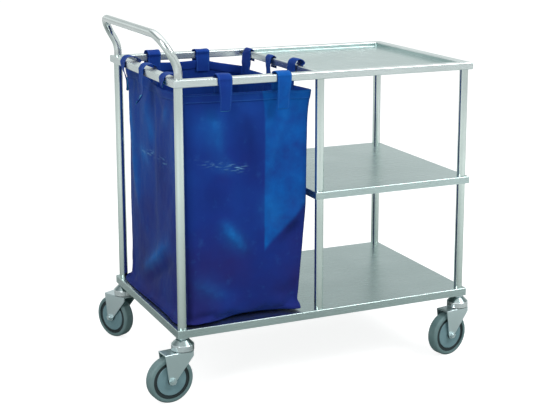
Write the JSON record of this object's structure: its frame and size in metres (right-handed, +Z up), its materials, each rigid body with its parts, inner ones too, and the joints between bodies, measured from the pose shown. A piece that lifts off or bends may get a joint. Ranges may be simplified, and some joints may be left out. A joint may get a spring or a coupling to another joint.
{
  "type": "linen trolley",
  "caption": "Linen trolley with a welded steel frame, a strapped fabric bag at the push end, open shelves beside it and swivel castors.",
  "frame": {"origin": "on the floor, under the middle of the deck", "axes": "+X along the trolley away from the push handle, +Y across it, +Z up"},
  "size_m": [0.9969, 0.6602, 0.996],
  "materials": {
    "stainless_tube": "satin polished tube",
    "stainless_sheet": "brushed sheet",
    "zinc_steel": "bright zinc plate",
    "grey_rubber": "non-marking grey rubber",
    "grey_plastic": "moulded",
    "dark_plastic": "moulded",
    "blue_fabric": "coated plain-weave cloth"
  },
  "bodies": {
    "trolley_frame": {"bag": "blue_fabric", "bag_straps_back": "blue_fabric", "bag_straps_divider": "blue_fabric", "bag_straps_front": "blue_fabric", "bag_straps_left": "blue_fabric", "castor_stem_back_left": "zinc_steel", "castor_stem_back_right": "zinc_steel", "castor_stem_front_left": "zinc_steel", "castor_stem_front_right": "zinc_steel", "deck": "stainless_sheet", "deck_bushes": "stainless_sheet", "mid_shelf": "stainless_sheet", "post_back_left": "stainless_tube", "post_back_middle": "stainless_tube", "post_back_right": "stainless_tube", "post_front_left": "stainless_tube", "post_front_middle": "stainless_tube", "post_front_right": "stainless_tube", "post_plugs": "dark_plastic", "push_handle": "stainless_tube", "rail_back": "stainless_tube", "rail_divider": "stainless_tube", "rail_front": "stainless_tube", "rail_left": "stainless_tube", "rail_right": "stainless_tube", "swivel_balls": "zinc_steel", "swivel_housing_back_left": "zinc_steel", "swivel_housing_back_right": "zinc_steel", "swivel_housing_front_left": "zinc_steel", "swivel_housing_front_right": "zinc_steel", "top_tray": "stainless_sheet"},
    "castor_front_left": {"axle_bolt_front_left": "zinc_steel", "axle_nut_front_left": "zinc_steel", "axle_sleeve_front_left": "zinc_steel", "fork_front_left": "zinc_steel"},
    "wheel_front_left": {"hub_covers_front_left": "grey_plastic", "tyre_front_left": "grey_rubber", "wheel_core_front_left": "dark_plastic"},
    "castor_front_right": {"axle_bolt_front_right": "zinc_steel", "axle_nut_front_right": "zinc_steel", "axle_sleeve_front_right": "zinc_steel", "fork_front_right": "zinc_steel"},
    "wheel_front_right": {"hub_covers_front_right": "grey_plastic", "tyre_front_right": "grey_rubber", "wheel_core_front_right": "dark_plastic"},
    "castor_back_left": {"axle_bolt_back_left": "zinc_steel", "axle_nut_back_left": "zinc_steel", "axle_sleeve_back_left": "zinc_steel", "fork_back_left": "zinc_steel"},
    "wheel_back_left": {"hub_covers_back_left": "grey_plastic", "tyre_back_left": "grey_rubber", "wheel_core_back_left": "dark_plastic"},
    "castor_back_right": {"axle_bolt_back_right": "zinc_steel", "axle_nut_back_right": "zinc_steel", "axle_sleeve_back_right": "zinc_steel", "fork_back_right": "zinc_steel"},
    "wheel_back_right": {"hub_covers_back_right": "grey_plastic", "tyre_back_right": "grey_rubber", "wheel_core_back_right": "dark_plastic"}
  },
  "joints": [
    {"name": "swivel_front_left", "type": "hinge", "parent": "trolley_frame", "child": "castor_front_left", "pos_m": [-0.431, -0.261, 0.139], "axis": [0, 0, 1], "continuous": true},
    {"name": "roll_front_left", "type": "hinge", "parent": "castor_front_left", "child": "wheel_front_left", "pos_m": [-0.47085, -0.26449, 0.0635], "axis": [0.0872, -0.9962, 0], "continuous": true},
    {"name": "swivel_front_right", "type": "hinge", "parent": "trolley_frame", "child": "castor_front_right", "pos_m": [0.431, -0.261, 0.139], "axis": [0, 0, 1], "continuous": true},
    {"name": "roll_front_right", "type": "hinge", "parent": "castor_front_right", "child": "wheel_front_right", "pos_m": [0.39187, -0.26932, 0.0635], "axis": [0.2079, -0.9781, 0], "continuous": true},
    {"name": "swivel_back_left", "type": "hinge", "parent": "trolley_frame", "child": "castor_back_left", "pos_m": [-0.431, 0.261, 0.139], "axis": [0, 0, 1], "continuous": true},
    {"name": "roll_back_left", "type": "hinge", "parent": "castor_back_left", "child": "wheel_back_left", "pos_m": [-0.44916, 0.29664, 0.0635], "axis": [-0.891, -0.454, 0], "continuous": true},
    {"name": "swivel_back_right", "type": "hinge", "parent": "trolley_frame", "child": "castor_back_right", "pos_m": [0.431, 0.261, 0.139], "axis": [0, 0, 1], "continuous": true},
    {"name": "roll_back_right", "type": "hinge", "parent": "castor_back_right", "child": "wheel_back_right", "pos_m": [0.39391, 0.27598, 0.0635], "axis": [-0.3746, -0.9272, 0], "continuous": true}
  ]
}
